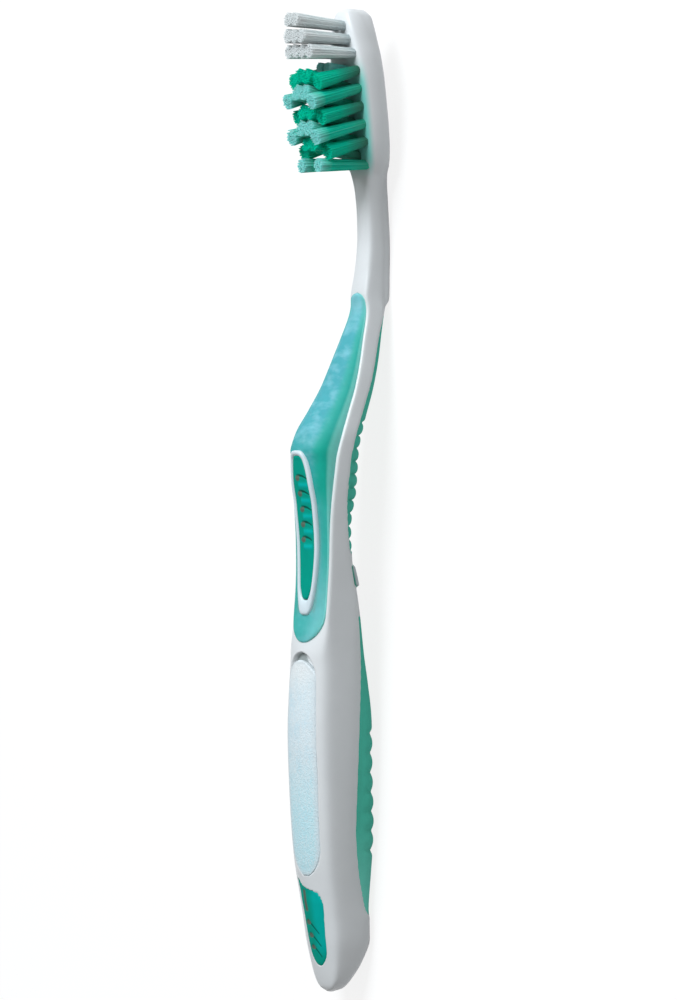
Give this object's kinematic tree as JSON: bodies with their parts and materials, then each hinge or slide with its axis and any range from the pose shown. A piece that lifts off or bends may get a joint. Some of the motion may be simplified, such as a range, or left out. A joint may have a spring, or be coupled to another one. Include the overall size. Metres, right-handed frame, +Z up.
{
  "type": "manual toothbrush",
  "caption": "Manual toothbrush lying on its back, with a bent white handle, green soft grips, a thumb ring and crossed bristle tufts on a tilted head.",
  "frame": {"origin": "under the middle of the brush, on the surface that it lies on", "axes": "+X from the heel of the handle to the tip of the head, +Z up, the side that the bristles stand out of, +Y across the brush"},
  "size_m": [0.19, 0.0142, 0.0242],
  "materials": {
    "white_polypropylene": "moulded white polypropylene, satin gloss",
    "turquoise_elastomer": "translucent turquoise elastomer, glossy",
    "green_elastomer": "deep green elastomer, satin",
    "grip_elastomer": "green elastomer, moulded matt",
    "matte_panel": "fine spark-eroded matt texture",
    "pale_boss": "translucent whitish elastomer",
    "white_bristle": "white nylon filament",
    "pale_bristle": "pale teal nylon filament",
    "light_bristle": "light teal nylon filament",
    "dark_bristle": "deep green nylon filament",
    "anchor_metal": "drawn nickel silver wire"
  },
  "bodies": {
    "root": {"handle_core": "white_polypropylene", "front_insert": "turquoise_elastomer", "thumb_ring": "white_polypropylene", "thumb_pad": "green_elastomer", "front_panel": "matte_panel", "heel_pad": "green_elastomer", "upper_back_grip": "grip_elastomer", "back_boss": "pale_boss", "lower_back_grip": "grip_elastomer", "tuft_anchors": "anchor_metal", "toe_tuft_1": "white_bristle", "toe_tuft_2": "white_bristle", "toe_tuft_3": "white_bristle", "toe_tuft_4": "white_bristle", "toe_tuft_5": "white_bristle", "toe_tuft_6": "white_bristle", "toe_tuft_7": "white_bristle", "toe_tuft_8": "white_bristle", "toe_tuft_9": "white_bristle", "outer_tuft_1": "dark_bristle", "outer_tuft_2": "dark_bristle", "outer_tuft_3": "light_bristle", "outer_tuft_4": "light_bristle", "outer_tuft_5": "dark_bristle", "outer_tuft_6": "dark_bristle", "outer_tuft_7": "light_bristle", "outer_tuft_8": "light_bristle", "outer_tuft_9": "dark_bristle", "outer_tuft_10": "dark_bristle", "inner_tuft_1": "dark_bristle", "inner_tuft_2": "dark_bristle", "inner_tuft_3": "light_bristle", "inner_tuft_4": "light_bristle", "inner_tuft_5": "dark_bristle", "inner_tuft_6": "dark_bristle", "inner_tuft_7": "light_bristle", "inner_tuft_8": "light_bristle", "inner_tuft_9": "dark_bristle", "inner_tuft_10": "dark_bristle", "pale_tuft_1": "pale_bristle", "pale_tuft_2": "pale_bristle", "heel_tuft_1": "light_bristle", "heel_tuft_2": "light_bristle"}
  },
  "joints": []
}
